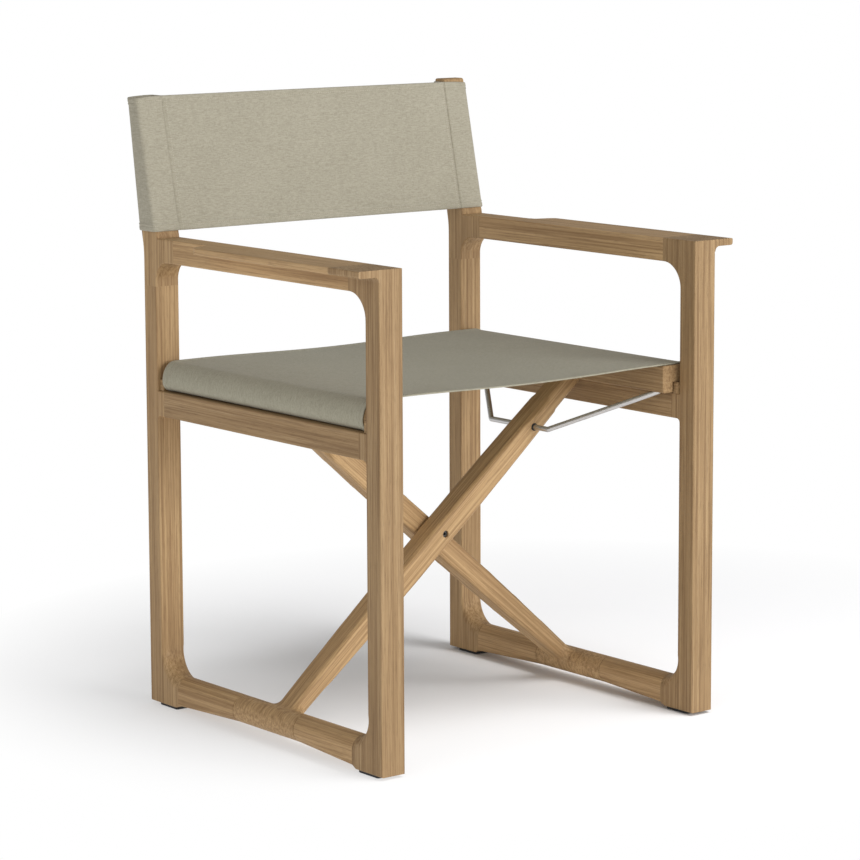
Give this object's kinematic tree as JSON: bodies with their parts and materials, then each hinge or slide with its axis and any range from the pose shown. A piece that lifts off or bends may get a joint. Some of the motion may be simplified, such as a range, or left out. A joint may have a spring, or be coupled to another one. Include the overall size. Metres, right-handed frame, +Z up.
{
  "type": "folding director chair",
  "caption": "Folding timber director chair with crossed legs that turn in round bottom rails, raked back posts and fabric seat and back slings.",
  "frame": {"origin": "on the floor, in the middle of the chair's width and depth, with the front legs in -Y and the back posts in +Y", "axes": "+X to the right of a person facing the chair from the front, +Y from front to back, +Z up"},
  "size_m": [0.6192, 0.5535, 0.8315],
  "materials": {
    "teak": "oiled",
    "steel": "satin",
    "glide_plastic": "matte",
    "seat_fabric": "woven",
    "back_fabric": "woven"
  },
  "bodies": {
    "left_frame": {"left_front_leg": "teak", "left_rear_leg": "teak", "left_back_post": "teak", "left_armrest": "teak", "left_seat_rail": "teak", "left_front_foot_rail": "teak", "left_rear_foot_rail": "teak", "left_tenons": "teak", "left_glides": "glide_plastic", "left_glide_screws": "steel", "left_seat_stops": "teak", "left_foot_rod": "steel", "back_sling": "back_fabric"},
    "right_frame": {"right_front_leg": "teak", "right_rear_leg": "teak", "right_back_post": "teak", "right_armrest": "teak", "right_seat_rail": "teak", "right_front_foot_rail": "teak", "right_rear_foot_rail": "teak", "right_tenons": "teak", "right_glides": "glide_plastic", "right_glide_screws": "steel", "right_seat_stops": "teak", "right_foot_rod": "steel"},
    "cross_bar_a": {"cross_bar_a": "teak", "left_foot_bushes": "glide_plastic", "pivot_washer": "glide_plastic", "right_bail": "steel", "right_bail_bush": "glide_plastic"},
    "cross_bar_b": {"cross_bar_b": "teak", "right_foot_bushes": "glide_plastic", "pivot_bolt": "steel", "pivot_nut": "steel", "left_bail": "steel", "left_bail_bush": "glide_plastic"},
    "right_seat_bar": {"right_seat_bar": "teak", "right_hinge_pin": "steel", "right_sling_rod": "steel", "seat_sling": "seat_fabric"},
    "left_seat_bar": {"left_seat_bar": "teak", "left_hinge_pin": "steel", "left_sling_rod": "steel"}
  },
  "joints": [
    {"name": "fold", "type": "hinge", "parent": "left_frame", "child": "cross_bar_a", "pos_m": [-0.2605, -0.01535, 0.0269], "axis": [0, -1, 0], "range_deg": [0, 15.5], "deforming": ["seat_sling", "back_sling"]},
    {"name": "cross_pivot", "type": "hinge", "parent": "cross_bar_a", "child": "cross_bar_b", "pos_m": [0, -0.01535, 0.245], "axis": [0, -1, 0], "range_deg": [-31, 0]},
    {"name": "right_foot_turn", "type": "hinge", "parent": "cross_bar_b", "child": "right_frame", "pos_m": [0.2605, -0.01535, 0.0269], "axis": [0, -1, 0], "range_deg": [0, 15.5]},
    {"name": "right_seat_turn", "type": "hinge", "parent": "cross_bar_a", "child": "right_seat_bar", "pos_m": [0.23732, -0.01535, 0.44414], "axis": [0, -1, 0], "range_deg": [-15.5, 0]},
    {"name": "left_seat_turn", "type": "hinge", "parent": "cross_bar_b", "child": "left_seat_bar", "pos_m": [-0.23732, -0.01535, 0.44414], "axis": [0, -1, 0], "range_deg": [0, 15.5]}
  ],
  "couplings": [
    {"joint": "cross_pivot", "follows": "fold", "ratio": -2},
    {"joint": "right_foot_turn", "follows": "fold", "ratio": 1},
    {"joint": "right_seat_turn", "follows": "fold", "ratio": -1},
    {"joint": "left_seat_turn", "follows": "fold", "ratio": 1}
  ]
}
